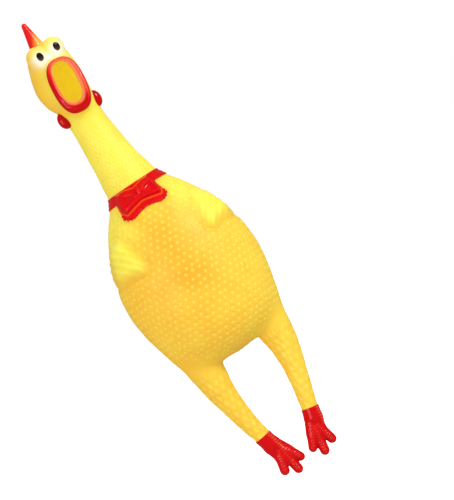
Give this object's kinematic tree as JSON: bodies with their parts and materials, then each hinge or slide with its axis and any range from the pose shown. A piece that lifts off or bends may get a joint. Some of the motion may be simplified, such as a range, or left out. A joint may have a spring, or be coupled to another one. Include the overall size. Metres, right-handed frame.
{
  "type": "rubber chicken",
  "caption": "Hollow soft squeaking chicken with an open mouth, flexible neck, folded wings, dangling legs and a reed squeaker in its throat.",
  "frame": {"origin": "middle of the torso, where a hand holds the chicken", "axes": "+Z towards the head and comb, -Y is the front with the face, +X is the chicken's left"},
  "size_m": [0.0898, 0.0717, 0.3128],
  "materials": {
    "yellow_skin": "glossy soft vinyl",
    "red_paint": "glossy soft vinyl, painted",
    "white_paint": "sprayed white fading into yellow",
    "black_paint": "glossy paint",
    "squeaker_plastic": "plain moulded plastic",
    "reed_film": "thin film"
  },
  "bodies": {
    "torso": {"torso_skin": "yellow_skin", "collar_band": "red_paint", "bow_knot": "red_paint", "bow_lobe_left": "red_paint", "bow_lobe_right": "red_paint", "wing_left": "yellow_skin", "wing_right": "yellow_skin", "tail_nub": "yellow_skin"},
    "belly": {"belly_skin": "yellow_skin"},
    "back": {"back_skin": "yellow_skin"},
    "neck_lower": {"neck_lower_skin": "yellow_skin"},
    "neck_upper": {"neck_upper_skin": "yellow_skin", "squeaker_housing": "squeaker_plastic", "reed_seat": "squeaker_plastic", "reed_clamp": "squeaker_plastic", "squeaker_cap": "squeaker_plastic"},
    "reed": {"reed_tongue": "reed_film"},
    "head": {"head_skin": "yellow_skin", "lip_ring": "red_paint", "comb": "red_paint", "eye_left": "white_paint", "eye_right": "white_paint", "pupil_left": "black_paint", "pupil_right": "black_paint", "wattle_left": "red_paint", "wattle_right": "red_paint"},
    "thigh_left": {"thigh_left": "yellow_skin"},
    "thigh_right": {"thigh_right": "yellow_skin"},
    "shank_left": {"shank_left": "yellow_skin"},
    "shank_right": {"shank_right": "yellow_skin"},
    "foot_left": {"foot_left": "red_paint"},
    "foot_right": {"foot_right": "red_paint"}
  },
  "joints": [
    {"name": "neck_sway", "type": "hinge", "parent": "torso", "child": "neck_lower", "pos_m": [0, 0, 0.068], "axis": [0, 1, 0], "range_deg": [-20, 20], "stiffness_Nm_per_rad": 0.3},
    {"name": "neck_bend", "type": "hinge", "parent": "neck_lower", "child": "neck_upper", "pos_m": [0, 0, 0.084], "axis": [1, 0, 0], "range_deg": [-30, 30], "stiffness_Nm_per_rad": 0.25},
    {"name": "head_nod", "type": "hinge", "parent": "neck_upper", "child": "head", "pos_m": [0, 0, 0.108], "axis": [1, 0, 0], "range_deg": [-20, 25], "stiffness_Nm_per_rad": 0.25},
    {"name": "reed_flex", "type": "hinge", "parent": "neck_upper", "child": "reed", "pos_m": [0, 0.004, 0.093], "axis": [1, 0, 0], "range_deg": [-4, 4], "stiffness_Nm_per_rad": 0.002},
    {"name": "hip_splay_left", "type": "hinge", "parent": "torso", "child": "thigh_left", "pos_m": [0.0245, 0, -0.0615], "axis": [0, -1, 0], "range_deg": [0, 25], "stiffness_Nm_per_rad": 0.1},
    {"name": "hip_splay_right", "type": "hinge", "parent": "torso", "child": "thigh_right", "pos_m": [-0.0245, 0, -0.0615], "axis": [0, 1, 0], "range_deg": [0, 25], "stiffness_Nm_per_rad": 0.1},
    {"name": "leg_swing_left", "type": "hinge", "parent": "thigh_left", "child": "shank_left", "pos_m": [0.023, 0, -0.0745], "axis": [-1, 0, 0], "range_deg": [-40, 40], "stiffness_Nm_per_rad": 0.08},
    {"name": "leg_swing_right", "type": "hinge", "parent": "thigh_right", "child": "shank_right", "pos_m": [-0.023, 0, -0.0745], "axis": [-1, 0, 0], "range_deg": [-40, 40], "stiffness_Nm_per_rad": 0.08},
    {"name": "ankle_flex_left", "type": "hinge", "parent": "shank_left", "child": "foot_left", "pos_m": [0.0162, 0, -0.1058], "axis": [-1, 0, 0], "range_deg": [-35, 35], "stiffness_Nm_per_rad": 0.02},
    {"name": "ankle_flex_right", "type": "hinge", "parent": "shank_right", "child": "foot_right", "pos_m": [-0.0162, 0, -0.1058], "axis": [-1, 0, 0], "range_deg": [-35, 35], "stiffness_Nm_per_rad": 0.02},
    {"name": "belly_squeeze", "type": "slide", "parent": "torso", "child": "belly", "axis": [0, 1, 0], "range_m": [0, 0.011], "stiffness_N_per_m": 400},
    {"name": "back_squeeze", "type": "slide", "parent": "torso", "child": "back", "axis": [0, -1, 0], "range_m": [0, 0.011], "stiffness_N_per_m": 400}
  ],
  "couplings": [
    {"joint": "back_squeeze", "follows": "belly_squeeze", "ratio": 1}
  ]
}
